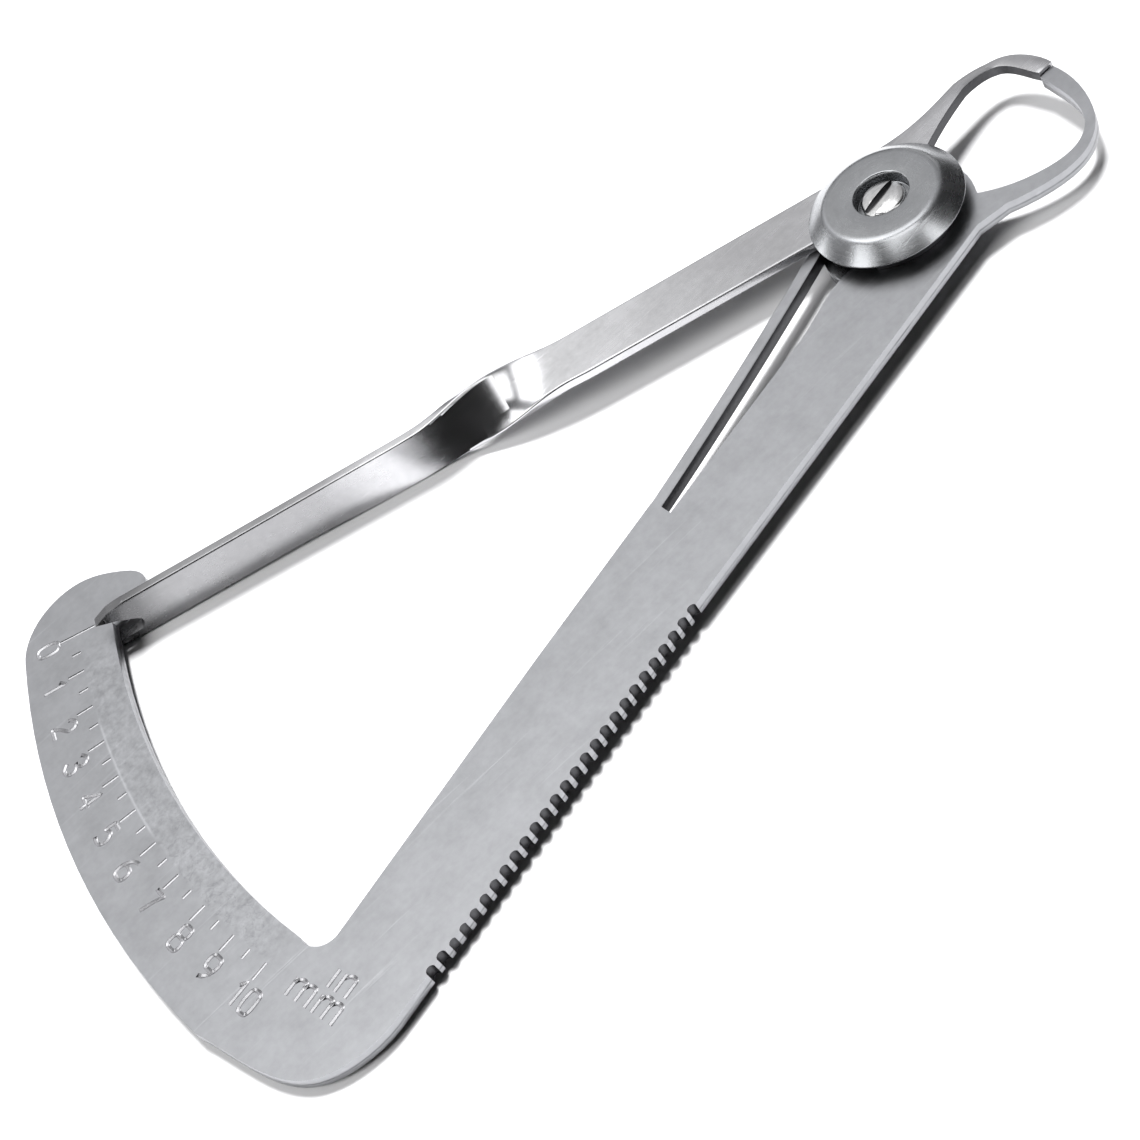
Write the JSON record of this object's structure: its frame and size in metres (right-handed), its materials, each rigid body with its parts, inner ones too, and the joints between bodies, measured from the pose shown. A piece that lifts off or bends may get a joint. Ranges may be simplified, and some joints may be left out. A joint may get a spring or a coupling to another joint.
{
  "type": "wax caliper",
  "caption": "Small steel wax caliper with curved measuring jaws, a disc pivot, a spring tongue, a serrated scale arm and a twisted pointer arm that reads on a curved millimetre scale.",
  "frame": {"origin": "on the pivot axis, at the rear disc's bottom face", "axes": "+X from the pivot towards the closed jaw tips, with the arms towards -X; +Y towards the pointer arm's side; +Z along the pivot axis, towards the front disc"},
  "size_m": [0.103, 0.0604, 0.0057],
  "materials": {
    "lever_steel": "satin",
    "disc_steel": "polished",
    "screw_steel": "polished"
  },
  "bodies": {
    "scale_body": {"scale_lever": "lever_steel", "front_disc": "disc_steel", "rear_disc": "disc_steel", "pivot_sleeve": "screw_steel", "pivot_screw": "screw_steel"},
    "pointer_body": {"pointer_lever": "lever_steel", "spring_pin": "screw_steel"},
    "tongue_body": {"spring_tongue": "lever_steel"}
  },
  "joints": [
    {"name": "lever_pivot", "type": "hinge", "parent": "scale_body", "child": "pointer_body", "pos_m": [0, 0, 0.00341], "axis": [0, 0, 1], "range_deg": [0, 30], "stiffness_Nm_per_rad": 0.02, "springref_deg": -57.3},
    {"name": "tongue_flex", "type": "hinge", "parent": "scale_body", "child": "tongue_body", "pos_m": [-0.03095, -0.00542, 0.0023], "axis": [0, 0, 1], "range_deg": [-6.4, 0]}
  ],
  "couplings": [
    {"joint": "tongue_flex", "follows": "lever_pivot", "ratio": -0.21}
  ]
}
